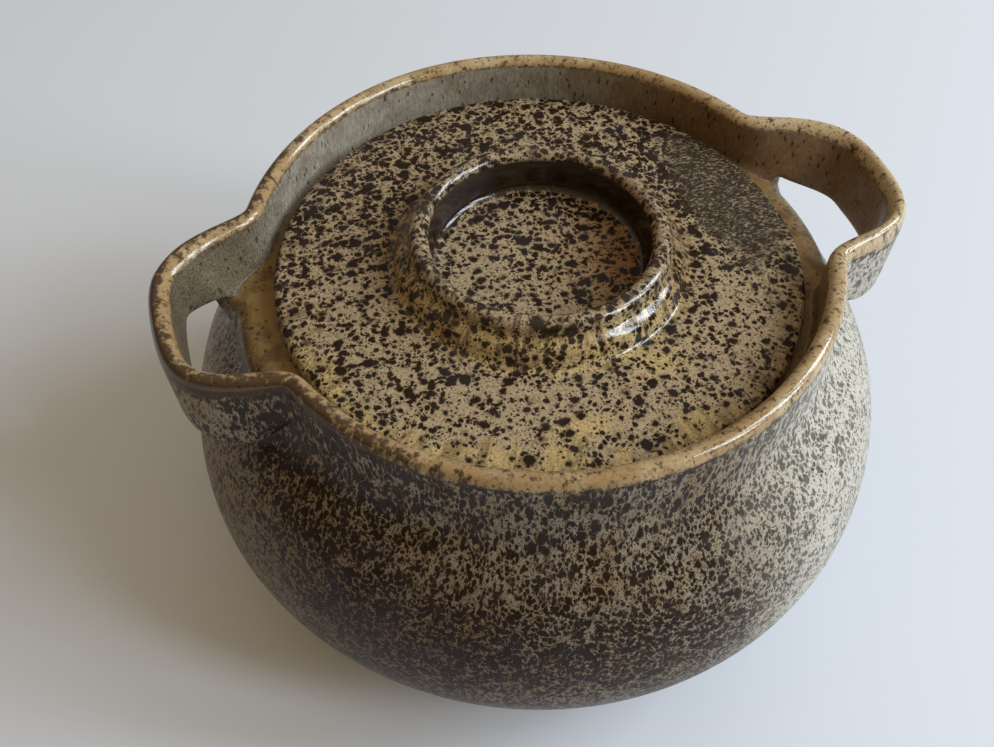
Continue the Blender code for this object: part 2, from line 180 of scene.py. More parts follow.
# Where the looks change: the span of a place, a radius or a mask that eases, and the values that it goes
# between where they aren't 0 and 1.
RAMPS = {
    "halo": (-0.15, -0.02, 0, 0.45),
    "drops": (-0.05, 0.06),
    "bowl_pale_and_sheen": (0.030, 0.078),
    "bowl_pale_and_sheen_end": (0.098, 0.110, 1, 0.75),
    "bowl_left": (0.020, -0.080, 0, 0.070),
    "bowl_far_left": (-0.092, -0.108, 0, -0.14),
    "collar_russet": (0.030, 0.078),
    "collar_moss": (-0.070, -0.094),
    "collar_grain": (-0.055, -0.090, 0.35, 1),
    "edge_pale_left": (-0.090, 0.020, 0.45, 1),
    "edge_pale_and_lit_right": (0.060, 0.100),
    "edge_mottled_left": (-0.030, -0.100, 0, 0.29),
    "edge_mottles": (0.51, 0.68, 0, 0.92),
    "edge_ragged": (0.1, 0.8, 0.4, 1),
    "edge_bare": (0.30, 0.56),
    "rust_starts": (0.02, 0.25),
    "rust_ends": (0.80, 0.50),
    "pot_relief": (0, 1, 1, 0.15),
    "lid_relief": (0, 1, 1, 0.25),
    "lid_rear": (-0.02, 0.05),
    "lid_rim": (0.0750, 0.0795),
    "lid_front": (0.45, 0.75),
    "lid_thick": (0.34, 0.72, 0, 0.9),
    "flank_golden": (0, 0.7),
    "well_foot_shade": (0.0345, 0.0325, 0, 0.02),
    "knob_inside": (0.0362, 0.0342),
    "knob_wall": (0.0318, 0.0336),
    "knob_foot_shade": (0.1345, 0.1405),
}
LID_FRONT = (-0.45, -0.89, 0.0)     # the side where yellow glaze gathered at the lid's edge
SPOKE_STRETCH = (0.06, 0.06, 0.06)  # how the pattern of the runs on the lid is drawn out along its radii
PLACE_STRETCH = (0.12, 0.12, 0.12)
THREAD_STRETCH = (0.8, 1.6, 1)      # the threads in the dark patch lie along X
THREAD_WARP = (300, 0.002)


def length(name, description, default):
    """A size in metres."""
    return FloatProperty(name=name, description=description, default=default, min=0.0, unit="LENGTH",
                         precision=4)


def angle(name, description, degrees):
    """An angle, given in degrees."""
    return FloatProperty(name=name, description=description, default=math.radians(degrees), unit="ROTATION",
                         subtype="ANGLE")


def colour(name, description, default):
    """A linear colour."""
    return FloatVectorProperty(name=name, description=description, default=default, size=3, min=0.0,
                               max=1.0, subtype="COLOR")


class PotSizes(PropertyGroup):
    """Sizes of the thrown pot."""
    belly_radius: length("Belly radius", "Radius of the widest circle", POT_BOX[1][1])
    belly_height: length("Belly height", "Height of the widest circle", 0.0615)
    rim_top: length("Rim top", "Height of the collar's rim", POT_BOX[1][2])
    ledge_height: length("Ledge height", "Height of the gallery that carries the lid",
                         LID_BOX[0][2] - 0.0003)
    ledge_inner_radius: length("Gallery radius", "Radius of the gallery's inner edge", 0.0780)
    gallery_thickness: length("Gallery thickness", "Thickness of the gallery", 0.0080)
    collar_wall: length("Collar wall", "Thickness of the collar and of the handles", 0.0060)
    collar_inner_radius: length("Collar radius", "Radius of the collar's inner side",
                                LID_BOX[1][0] + 0.0040)
    shoulder_height: length("Shoulder height", "Height of the shoulder's arc above the belly", 0.0521)
    shoulder_tuck: length("Shoulder tuck", "The shoulder arc's centre lies this far inside the collar",
                          0.0116)
    lower_depth: length("Lower depth", "Depth of the lower arc under the belly", 0.0571)
    lower_centre_radius: length("Lower centre radius", "Radius where the lower arc runs flat", 0.0429)
    neck_blend: length("Neck blend", "Height of the hollow curve over its corner", 0.0070)
    wall: length("Wall", "Thickness of the bowl's wall", 0.0060)
    floor_height: length("Floor height", "Height of the bowl's inner floor", 0.0110)
    foot_radius: length("Foot radius", "Outer radius of the foot ring at its top", 0.0615)
    foot_recess: length("Foot recess", "Depth of the recess inside the foot ring", 0.0040)
    ring_depth: length("Throwing ring depth", "Depth of the finger marks left on the bowl", 0.00016)
    ring_pitch: length("Throwing ring pitch", "Height from one finger mark to the next", 0.0074)
    rim_waver: length("Rim waver", "How far the rim sinks and rises round the pot", 0.0003)
    turns: IntProperty(name="Steps round", description="Number of columns round the pot", default=160, min=32)


class HandleSizes(PropertyGroup):
    """How the two loops are drawn out of the collar."""
    reach: length("Reach", "Farthest point of a handle from the pot's axis", HANDLE_BOX[1][0])
    lean: length("Lean", "The lower edge is drawn out this much less", 0.0016)
    drop: length("Drop", "The lower edge sinks this much at the middle", 0.0099)
    slit_height: length("Slit height", "Height of the slit's upper edge over the ledge", 0.0024)
    web_height: length("Web height", "Height of the shoulder that the roots pull along", 0.0200)


class LidSizes(PropertyGroup):
    """Sizes of the lid and its ring knob."""
    radius: length("Lid radius", "Outer radius of the lid", LID_BOX[1][0])
    under: length("Lid underside", "Height of the lid's underside", LID_BOX[0][2])
    top: length("Lid top", "Height of the lid's middle", LID_BOX[1][2])
    dome: length("Dome", "The middle stands this much above the edge", 0.0012)
    well_depth: length("Well depth", "The floor inside the ring lies this much lower", 0.0016)
    ring_inner_radius: length("Ring inner radius", "Inner radius of the ring knob", 0.0351)
    ring_wall: length("Ring wall", "Thickness of the ring's crest", 0.0064)
    ring_top: length("Ring top", "Height of the ring's crest", RING_BOX[1][2])
    ring_foot_radius: length("Ring foot radius", "Radius where the ring runs out on the lid", RING_BOX[1][0])
    turns: IntProperty(name="Steps round", description="Number of columns round the lid", default=144, min=32)


class GlazeColours(PropertyGroup):
    """Colours of the glaze and of the bare clay."""
    buff: colour("Buff", "Light ground of the lid", (0.465, 0.364, 0.224))
    tan: colour("Tan", "Warm ground on the bowl", (0.300, 0.230, 0.142))
    grey: colour("Grey", "Cool ground on the bowl", (0.310, 0.270, 0.205))
    # On the bowl's right side the ground is pale grey and its drops ash grey: partly thin glaze, partly
    # painted sheen and window light.
    pale: colour("Pale grey", "Ground where the glaze ran thin on the bowl's side", (0.58, 0.545, 0.460))
    ash: colour("Ash", "Blotches in the pale ground", (0.185, 0.168, 0.140))
    stone: colour("Stone", "Smooth glaze inside the collar", (0.40, 0.365, 0.290))
    iron: colour("Iron", "Dark blotches", (0.017, 0.0085, 0.0035))
    plum: colour("Plum", "Dark blotches where the glaze is thick", (0.025, 0.0165, 0.0150))
    halo: colour("Halo", "Brown round the blotches", (0.120, 0.070, 0.035))
    honey: colour("Honey", "Glaze where it thins over an edge", (0.385, 0.254, 0.117))
    # Pale honey is the thinnest glaze; on the rim's right side it is partly painted light.
    honey_pale: colour("Pale honey", "Thinnest glaze on an edge", (0.63, 0.50, 0.30))
    honey_dark: colour("Dark honey", "Mottles across an edge", (0.042, 0.021, 0.009))
    olive: colour("Olive", "Glaze that lies on the gallery", (0.285, 0.183, 0.069))
    pool: colour("Pool", "Yellow glaze that gathered", (0.60, 0.45, 0.20))
    # Amber is a painted warm shadow on the well floor inside the ring knob.
    shadow_amber: colour("Amber", "Stain inside the ring knob", (0.30, 0.155, 0.045))
    # Umber in the ring knob's hollow is partly dark glaze and partly painted shade; it also darkens grain and
    # streaks.
    umber: colour("Umber", "Smooth glaze inside the ring knob", (0.024, 0.014, 0.009))
    russet: colour("Russet", "Glaze inside the collar on the right", (0.270, 0.180, 0.106))
    moss: colour("Moss", "Glaze inside the left handle", (0.172, 0.149, 0.098))
    smoke: colour("Smoke", "Thick glaze on the lid", (0.036, 0.027, 0.020))
    clay: colour("Clay", "Bare clay of the foot", (0.30, 0.19, 0.11))


class StudioSettings(PropertyGroup):
    """Camera, lamps and floor."""
    distance: length("Camera distance", "From the camera to the middle of the lid", 0.3554)
    azimuth: angle("Camera azimuth", "Turn of the camera round the pot", -20.5)
    elevation: angle("Camera elevation", "Height of the camera over the horizon", 45.0)
    roll: angle("Camera roll", "Tilt of the picture", -2.68)
    focal_pixels: FloatProperty(name="Focal length", description="Focal length in pixels", default=1097.5)
    lid_pixel_x: FloatProperty(name="Lid pixel X", description="Picture column of the lid's middle",
                               default=539.2)
    lid_pixel_y: FloatProperty(name="Lid pixel Y", description="Picture row of the lid's middle",
                               default=259.2)
    floor: colour("Floor", "Colour of the floor", (0.75, 0.80, 0.88))
    window_power: FloatProperty(name="Window", description="Power of the window light in watts", default=59.0)
    window_distance: length("Window distance", "From the window light to the pot", 2.2)
    window_azimuth: angle("Window azimuth", "Direction of the window light", -22.0)
    window_elevation: angle("Window elevation", "Height of the window light", 34.0)
    window_colour: colour("Window colour", "Cool daylight", (0.81, 0.91, 1.0))
    room_warm: colour("Warm room light", "Light from the room's left side", (1.0, 0.71, 0.38))
    room_cool: colour("Cool room light", "Light from the room's right and rear", (1.0, 0.90, 0.77))
    room_low: FloatProperty(name="Room low", description="Strength of the room's light from low down",
                            default=0.10)
    room_high: FloatProperty(name="Room high", description="Strength of the room's light from overhead",
                             default=0.49)


def smooth_step(value):
    """Ease from 0 to 1 while value goes from 0 to 1."""
    value = min(max(value, 0.0), 1.0)
    return value * value * (3 - 2 * value)


def mix(low, high, amount):
    """Between low and high."""
    return low + (high - low) * amount


def arc(centre, radii, start, end, steps=24):
    """Points on an elliptic arc in the (radius, height) plane, from start to end in degrees."""
    points = []
    for step in range(steps + 1):
        turn = math.radians(mix(start, end, step / steps))
        points.append((centre[0] + radii[0] * math.cos(turn), centre[1] + radii[1] * math.sin(turn)))
    return points


def blend_curve(start, corner, end, steps=12):
    """Points on the parabola that leaves start towards corner and arrives at end from corner."""
    points = []
    for step in range(steps + 1):
        t = step / steps
        weights = ((1 - t) ** 2, 2 * t * (1 - t), t ** 2)
        points.append(tuple(sum(w * p[axis] for w, p in zip(weights, (start, corner, end)))
                            for axis in (0, 1)))
    return points


def even_points(points, spacing):
    """The same outline with points at about this spacing; its two ends stay."""
    marks = [0.0]
    for first, second in zip(points, points[1:]):
        marks.append(marks[-1] + math.dist(first, second))
    count = max(1, round(marks[-1] / spacing))
    placed = []
    index = 0
    for step in range(count + 1):
        target = marks[-1] * step / count
        while index < len(marks) - 2 and marks[index + 1] < target:
            index += 1
        span = marks[index + 1] - marks[index]
        t = (target - marks[index]) / span if span else 0.0
        placed.append(tuple(mix(a, b, min(t, 1.0)) for a, b in zip(points[index], points[index + 1])))
    return placed


class Outline:
    """An outline drawn zone by zone; each point keeps the name of the zone that it starts."""

    def __init__(self):
        self.points = []
        self.zones = []

    def add(self, zone, points, spacing):
        """Append a zone at this spacing; its first point joins the last one of the zone before."""
        placed = even_points(points, spacing)
        if self.points:
            placed = placed[1:]
        self.points += placed
        self.zones += [zone] * len(placed)

    def line(self, zone, *points, spacing):
        """Go on straight through these points."""
        self.add(zone, [self.points[-1], *points], spacing)

    def bend(self, zone, corner, end, spacing):
        """Go on round a corner to the end, in a parabola."""
        self.add(zone, blend_curve(self.points[-1], corner, end), spacing)


def spun(outline, steps, layers, crowding=0.0):
    """The outline turned a whole turn about Z; each layer is a function of zone, radius and height.

    With crowding, the columns stand closer together near the X axis.
    """
    shape = bmesh.new()
    stores = {name: shape.verts.layers.float.new(name) for name in layers}
    verts = []
    for (radius, height), zone in zip(outline.points, outline.zones):
        vert = shape.verts.new((radius, 0.0, height))
        for name, value in layers.items():
            vert[stores[name]] = value(zone, radius, height)
        verts.append(vert)
    for first, second in zip(verts, verts[1:]):
        shape.edges.new((first, second))
    bmesh.ops.spin(shape, geom=shape.verts[:] + shape.edges[:], cent=(0, 0, 0), axis=(0, 0, 1),
                   angle=math.tau, steps=steps, use_merge=True)
    bmesh.ops.remove_doubles(shape, verts=shape.verts, dist=0.00001)
    bmesh.ops.recalc_face_normals(shape, faces=shape.faces)
    for vert in shape.verts:
        turn = math.atan2(vert.co.y, vert.co.x)
        radius = math.hypot(vert.co.x, vert.co.y)
        turn -= crowding * math.sin(2 * turn) / 2
        vert.co = (radius * math.cos(turn), radius * math.sin(turn), vert.co.z)
    return shape


def as_object(name, shape):
    """Put the finished mesh into the scene as an object at the origin."""
    mesh = bpy.data.meshes.new(name)
    shape.to_mesh(mesh)
    shape.free()
    mesh.shade_smooth()
    obj = bpy.data.objects.new(name, mesh)
    bpy.context.scene.collection.objects.link(obj)
    return obj


def subdivide_surface(obj, levels):
    """Round the cage with a subdivision surface."""
    surface = obj.modifiers.new("clay", "SUBSURF")
    surface.levels = levels
    surface.render_levels = levels


def paint_glossy(shape, *layers):
    """Give the faces that lie in one of these layers the second material."""
    floats = [shape.verts.layers.float[name] for name in layers]
    for face in shape.faces:
        shares = [sum(vert[layer] for layer in floats) for vert in face.verts]
        face.material_index = int(min(shares) > GLOSSY_SHARE)


def relative_angle(point, azimuth):
    """Angle in degrees from a handle's middle to the point, from -180 to 180."""
    turn = math.degrees(math.atan2(point.y, point.x))
    return (turn - azimuth + 180) % 360 - 180


# The two kinds of root, in degrees from a handle's middle: where the slit ends ("slit"), over how many
# degrees the strap comes in ("narrow") and its lower edge rises ("rise") there, over how many the shoulder
# swells out to it ("swell"), and over how many its outer side flows down into the shoulder beyond the slit
# ("flow"). What differs from handle to handle stands with the handle.
REAR_ROOT = {"slit": 13.3, "swell": 1.6, "flow": 0.0}
FRONT_ROOT = {"slit": 16.8, "narrow": 2.5, "rise": 2.5}
# Each handle: the azimuth of its middle, how full its front is, the strap's thickness as a share of the
# collar's wall, how far the gallery's lip swells in metres, and its roots on the low and the high side. For
# each root: the angle where the pull ends, the share of it that the wall's base follows, and how many times
# as deep the strap's lower edge hangs there.
HANDLES = {
    "right": {"azimuth": -2.0, "fullness": 3.8, "thick": 0.95, "lip": 0.0010,
              "roots": ({"end": 21.8, "follow": 0.65, "sag": 1.60, "swell": 6.0, "flow": 6.0, **FRONT_ROOT},
                        {"end": 24.6, "follow": 0.24, "sag": 1.0, "narrow": 7.0, "rise": 8.5, **REAR_ROOT})},
    "left": {"azimuth": 182.7, "fullness": 4.1, "thick": 1.1, "lip": 0.0024,
             "roots": ({"end": 26.4, "follow": 0.42, "sag": 1.0, "narrow": 3.0, "rise": 12.0, **REAR_ROOT},
                       {"end": 20.2, "follow": 0.90, "sag": 1.55, "swell": 9.0, "flow": 9.0, **FRONT_ROOT})},
}


def pull_share(side, turn):
    """How much of the full pull the collar gets at this angle from the handle's middle."""
    end = side["roots"][turn > 0]["end"]
    return (1 - min(abs(turn) / end, 1.0) ** side["fullness"]) ** PULL_FADE


def neck_curve(pot):
    """Start, corner and end of the hollow curve between the collar and the shoulder."""
    outer = pot.collar_inner_radius + pot.collar_wall
    centre_radius = outer - pot.shoulder_tuck
    half_width = pot.belly_radius - centre_radius
    join_angle = math.radians(SHOULDER_JOIN_ANGLE)
    join = (centre_radius + half_width * math.cos(join_angle),
            pot.belly_height + pot.shoulder_height * math.sin(join_angle))
    slope = pot.shoulder_height / math.tan(join_angle) / half_width
    corner = (outer, join[1] + (join[0] - outer) * slope)
    return (outer, corner[1] + pot.neck_blend), corner, join


def pot_outline(pot, handle):
    """The pot's outline: inner floor, inner wall, gallery, collar, outer wall, foot and underside."""
    outline = Outline()
    inner = pot.collar_inner_radius
    outer = inner + pot.collar_wall
    half_wall = pot.collar_wall / 2
    ledge = pot.ledge_height
    slit_top = ledge + handle.slit_height
    crest_start = pot.rim_top - half_wall
    nose = 0.0020
    fillet = 0.0017
    low_centre = (pot.lower_centre_radius, pot.belly_height)
    outline.add("inside", [(0.0, pot.floor_height), (low_centre[0], pot.floor_height)], spacing=0.009)
    bowl = (pot.belly_radius - pot.wall - low_centre[0], pot.belly_height - pot.floor_height)
    outline.add("inside", arc(low_centre, bowl, -90, 0), spacing=0.0075)
    under = (pot.ledge_inner_radius + nose, ledge - pot.gallery_thickness)
    roof = (pot.belly_radius - pot.wall - under[0], under[1] - pot.belly_height)
    outline.add("inside", arc((under[0], pot.belly_height), roof, 0, 90), spacing=0.0075)
    outline.add("gallery", arc((under[0], under[1] + nose), (nose, nose), -90, -180), spacing=0.0012)
    outline.line("gallery", (pot.ledge_inner_radius, ledge - nose), spacing=0.002)
    outline.add("gallery", arc((under[0], ledge - nose), (nose, nose), 180, 90), spacing=0.0012)
    outline.line("gallery", (inner - fillet, ledge), spacing=0.0019)
    outline.add("corner", blend_curve((inner - fillet, ledge), (inner, ledge), (inner, slit_top)),
                spacing=0.0008)
    outline.add("inner_face", [(inner, slit_top), (inner, crest_start)], spacing=0.0023)
    outline.add("crest", arc((inner + half_wall, crest_start), (half_wall, half_wall), 180, 0),
                spacing=0.0012)
    outline.add("outer_face", [(outer, crest_start), (outer, slit_top)], spacing=0.0023)
    curve = blend_curve(*neck_curve(pot), NECK_STEPS)
    half = NECK_STEPS // 2
    slit_side = [(outer, slit_top)] + curve[:half + 1]
    slit_length = sum(math.dist(a, b) for a, b in zip(slit_side, slit_side[1:]))
    outline.add("slit", slit_side, spacing=slit_length / outline.zones.count("corner"))
    outline.add("neck", curve[half:], spacing=0.0024)
    centre_radius = outer - pot.shoulder_tuck
    shoulder = (pot.belly_radius - centre_radius, pot.shoulder_height)
    outline.add("belly", arc((centre_radius, pot.belly_height), shoulder, SHOULDER_JOIN_ANGLE, 0),
                spacing=0.0031)
    lower_width = pot.belly_radius - low_centre[0]
    foot_angle = math.degrees(math.acos((pot.foot_radius - low_centre[0]) / lower_width))
    outline.add("belly", arc(low_centre, (lower_width, pot.lower_depth), 0, -foot_angle), spacing=0.0034)
    foot = [(pot.foot_radius - inwards, height) for inwards, height in FOOT_RING]
    recess = (pot.foot_radius - FOOT_RING_WIDTH, pot.foot_recess)
    outline.line("foot", foot[0], spacing=0.0016)
    outline.line("foot", foot[1], foot[2], spacing=0.0012)
    outline.line("foot", foot[3], spacing=0.0016)
    outline.line("foot", foot[4], recess, spacing=0.0016)
    outline.line("underside", (0.0, pot.foot_recess), spacing=0.010)
    return outline


def within(*zones):
    """A layer that is 1 in these zones of the outline and 0 elsewhere."""
    return lambda zone, radius, height: float(zone in zones)


def pot_layers(pot, handle):
    """What each point of the pot's outline carries: how it is drawn out, and how the glaze lies on it."""
    top = pot.ledge_height + handle.slit_height
    nearly = 1e-6
    crest_start = 0.0010
    inner_fade = 0.0026
    outer_fade = 0.0046
    lip_start = 0.008
    lip_width = 0.006

    def strap(zone, radius, height):
        """1 on the part of the collar that the slit frees."""
        at_slit = zone in ("slit", "corner") and height > top - nearly
        return float(zone in COLLAR_PARTS or at_slit)

    def depth(zone, radius, height):
        """0 at the crest, 1 at the collar's base."""
        if zone in ("inside", "gallery", "foot", "underside"):
            return 1.0
        return min((pot.rim_top - height) / (pot.rim_top - pot.ledge_height), 1.0)

    def follow(zone, radius, height):
        """How much a point goes along with the collar's base."""
        if zone == "gallery" and height > pot.ledge_height - 0.0001:
            return smooth_step((radius - pot.collar_inner_radius + lip_start) / lip_width)
        if zone in ("slit", "neck", "belly"):
            return 1 - smooth_step((pot.ledge_height - height) / handle.web_height)
        return float(zone in (*COLLAR_PARTS, "corner"))

    def thin(zone, radius, height):
        """1 on the rim's crest, where the glaze thins, down to 0 below it."""
        if zone not in COLLAR_PARTS:
            return 0.0
        inside = radius < pot.collar_inner_radius + pot.collar_wall / 2
        fade = inner_fade if inside else outer_fade
        return 1 - smooth_step((pot.rim_top - height - crest_start) / fade)

    def outward(zone, radius, height):
        """0 on the collar's inner side, 1 on its outer side."""
        return smooth_step((radius - pot.collar_inner_radius) / pot.collar_wall)

    return {"strap": strap, "depth": depth, "follow": follow, "thin": thin, "outward": outward,
            "ledge": within("gallery"), "inner": within("inner_face", "corner"),
            "clay": within("foot", "underside")}


def slit_collar(shape, pot, handle, side):
    """Cut one slit between the collar and the gallery, and round the clay inside it."""
    neck = neck_curve(pot)
    top = pot.ledge_height + handle.slit_height
    low_radius, low_height = blend_curve(*neck, 2)[1]
    inner = pot.collar_inner_radius
    outer_span = (neck[0][0] - 0.0006, low_radius + 0.0002)
    corner_span = (inner - 0.0018, inner + 0.0002)
    corner_height = pot.ledge_height + 0.000005
    freed = []
    for face in shape.faces:
        place = face.calc_center_median()
        radius = math.hypot(place.x, place.y)
        turn = relative_angle(place, side["azimuth"])
        if abs(turn) > side["roots"][turn > 0]["slit"] or not low_height < place.z < top:
            continue
        on_outer = outer_span[0] < radius < outer_span[1]
        on_corner = corner_span[0] < radius < corner_span[1] and place.z > corner_height
        if on_outer or on_corner:
            freed.append(face)
    bmesh.ops.delete(shape, geom=freed, context="FACES")
    rims = [edge for edge in shape.edges if edge.is_boundary]
    bridged = bmesh.ops.bridge_loops(shape, edges=rims)
    floats = shape.verts.layers.float
    across, span_out, span_down, lower = (floats[name] for name in SLIT_LAYERS)
    for edge in bridged["edges"]:
        near, far = sorted(edge.verts, key=lambda vert: math.hypot(vert.co.x, vert.co.y))
        near[across], far[across] = 0.0, 1.0
        for vert in (near, far):
            vert[span_out] = math.hypot(far.co.x, far.co.y) - math.hypot(near.co.x, near.co.y)
            vert[span_down] = far.co.z - near.co.z
            vert[lower] = (top - far.co.z) / (top - low_height)
    cut = bmesh.ops.subdivide_edges(shape, edges=bridged["edges"], cuts=SLIT_CUTS, use_grid_fill=True)
    fullness = 0.8
    strap_belly = 0.0014
    for vert in cut["geom_inner"]:
        if not isinstance(vert, bmesh.types.BMVert):
            continue
        u = vert[across]
        quarter = u * math.pi / 2
        outwards = (math.sin(quarter) ** fullness - u) * vert[span_out] * vert[lower]
        downwards = (1 - math.cos(quarter) ** fullness - u) * vert[span_down] * vert[lower]
        downwards -= strap_belly * math.sqrt(4 * u * (1 - u)) * (1 - vert[lower])
        radius = math.hypot(vert.co.x, vert.co.y)
        grown = (radius + outwards) / radius
        vert.co = (vert.co.x * grown, vert.co.y * grown, vert.co.z + downwards)


def draw_out_handle(shape, pot, handle, side):
    """Push the freed arc of the collar outwards into a loop."""
    middle = pot.collar_inner_radius + pot.collar_wall / 2
    pull = handle.reach - middle - pot.collar_wall / 2 * side["thick"]
    strap_depth = 1 - handle.slit_height / (pot.rim_top - pot.ledge_height)
    floats = shape.verts.layers.float
    half_step = 0.25
    sink_start = 3

    def crest_path(turn):
        """The drawn-out crest's middle in plan."""
        away = math.radians(side["azimuth"] + turn)
        return Vector((math.cos(away), math.sin(away))) * (middle + pull_share(side, turn) * pull)

    for vert in shape.verts:
        turn = relative_angle(vert.co, side["azimuth"])
        if abs(turn) > HANDLE_SPAN:
            continue
        root = side["roots"][turn > 0]
        past_slit = abs(turn) - root["slit"]
        drawn = pull_share(side, turn)
        crest = drawn * pull
        base = crest * root["follow"]
        depth, follow, outward = (vert[floats[name]] for name in ("depth", "follow", "outward"))
        flowing = smooth_step(1 - past_slit / root["flow"]) if root["flow"] else 0.0
        deeper = mix(1.0, root["sag"], smooth_step(abs(turn) / root["slit"]))
        sag = handle.drop * (1 - (1 - drawn) ** 3) * deeper
        if vert[floats["strap"]] > 0.5:
            closing = smooth_step(1 + past_slit / root["narrow"])
            lower = mix(crest - handle.lean, mix(crest, base, strap_depth), closing)
            amount = max(mix(crest, lower, depth / strap_depth), 0.0)
            opened = max(smooth_step(-past_slit / root["rise"]), flowing * outward)
            sink = sag * opened * depth / strap_depth
            tilt = 1.0
        else:
            rooted = mix(base, crest, 1 - depth) * follow
            amount = mix(side["lip"] * follow, rooted, smooth_step(1 + past_slit / root["swell"]))
            sink = sag * flowing * outward * follow * smooth_step(1 + past_slit / sink_start)
            tilt = smooth_step((1 - depth) / (1 - strap_depth))
        radius = math.hypot(vert.co.x, vert.co.y)
        radial = Vector((vert.co.x, vert.co.y)) / max(radius, 1e-6)
        along = crest_path(turn + half_step) - crest_path(turn - half_step)
        outwards = radial.lerp(Vector((along.y, -along.x)).normalized(), tilt).normalized()
        thickness = mix(1.0, side["thick"], drawn * tilt)
        place = radial * (middle + amount) + outwards * (radius - middle) * thickness
        vert.co = (place.x, place.y, vert.co.z - sink)


def uneven(shape, pot):
    """Throwing rings on the bowl and the slight waver of a rim made by hand."""
    shape.normal_update()
    waver_start = pot.ledge_height + 0.004
    waver_rise = 0.012
    rings = (0.010, pot.ledge_height - 0.008)
    wobble_rate = 90
    wobble = 1.3
    patch_scale = 16
    for vert in shape.verts:
        radius = math.hypot(vert.co.x, vert.co.y)
        turn = math.atan2(vert.co.y, vert.co.x)
        height = vert.co.z
        if height > waver_start:
            lift = smooth_step((height - waver_start) / waver_rise)
            waves = sum(part * math.sin(number * turn + phase) for number, phase, part in RIM_WAVES)
            vert.co.z -= pot.rim_waver * lift * (1 + waves)
            continue
        if radius > pot.collar_inner_radius and rings[0] < height < rings[1]:
            spiral = height / pot.ring_pitch + turn / math.tau
            ring = math.sin(math.tau * spiral + math.sin(height * wobble_rate) * wobble)
            patch = mix(0.6, 1.0, noise.noise(vert.co * patch_scale))
            vert.co -= vert.normal * pot.ring_depth * patch * (1 + ring)


class TUREEN_OT_throw_pot(Operator):
    """Throw the pot, slit its collar and draw out the two handles"""
    bl_idname = "tureen.throw_pot"
    bl_label = "Throw the pot"

    def execute(self, context):
        pot = context.scene.tureen_pot
        handle = context.scene.tureen_handles
        shape = spun(pot_outline(pot, handle), pot.turns, pot_layers(pot, handle),
                     COLUMN_CROWDING)
        for name in SLIT_LAYERS:
            shape.verts.layers.float.new(name)
        for side in HANDLES.values():
            slit_collar(shape, pot, handle, side)
        for side in HANDLES.values():
            draw_out_handle(shape, pot, handle, side)
        uneven(shape, pot)
        bmesh.ops.recalc_face_normals(shape, faces=shape.faces)
        paint_glossy(shape, "thin")
        body = as_object("glazed_pot", shape)
        subdivide_surface(body, 1)
        body.data.materials.append(pot_glaze(context.scene.tureen_glazes, "pot_glaze", SATIN))
        body.data.materials.append(pot_glaze(context.scene.tureen_glazes, "rim_glaze", GLOSSY))
        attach(body, "pot")
        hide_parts("pot_body", "handle_right", "handle_left")
        return {"FINISHED"}


class NodeBench:
    """Builds a node tree from sockets and plain values."""

    def __init__(self, tree):
        self.tree = tree

    def node(self, kind, inputs=(), **settings):
        """A new node with its settings made and its inputs joined or filled in."""
        made = self.tree.nodes.new(kind)
        for name, value in settings.items():
            setattr(made, name, value)
        for key, value in dict(inputs).items():
            self.fill(made.inputs[key], value)
        return made

    def fill(self, socket, value):
        """Join a socket to the value, or store the value in it."""
        if isinstance(value, bpy.types.NodeSocket):
            self.tree.links.new(value, socket)
        elif socket.type == "RGBA" and len(value) == 3:
            socket.default_value = (*value, 1.0)
        else:
            socket.default_value = value

    def vector(self, operation, inputs, output=0):
        """One step of vector arithmetic."""
        inputs = dict(enumerate(inputs))
        return self.node("ShaderNodeVectorMath", inputs, operation=operation).outputs[output]

    def calc(self, operation, first, second=0.0, third=0.0):
        """One step of arithmetic."""
        return self.node("ShaderNodeMath", {0: first, 1: second, 2: third}, operation=operation).outputs[0]

    def times(self, first, second):
        """The product."""
        return self.calc("MULTIPLY", first, second)

    def plus(self, first, second):
        """The sum."""
        return self.calc("ADD", first, second)

    def most(self, first, second):
        """The greater one."""
        return self.calc("MAXIMUM", first, second)

    def scaled(self, value, factor, offset):
        """The value times a factor, plus an offset."""
        return self.calc("MULTIPLY_ADD", value, factor, offset)

    def span(self, value, low, high, to_low=0.0, to_high=1.0, ease="SMOOTHSTEP"):
        """From to_low to to_high while value goes from low to high."""
        inputs = {"Value": value, "From Min": low, "From Max": high, "To Min": to_low, "To Max": to_high}
        return self.node("ShaderNodeMapRange", inputs, interpolation_type=ease).outputs["Result"]

    def blend(self, amount, first, second):
        """Mix two colours."""
        inputs = {"Factor": amount, 6: first, 7: second}
        return self.node("ShaderNodeMix", inputs, data_type="RGBA").outputs[2]


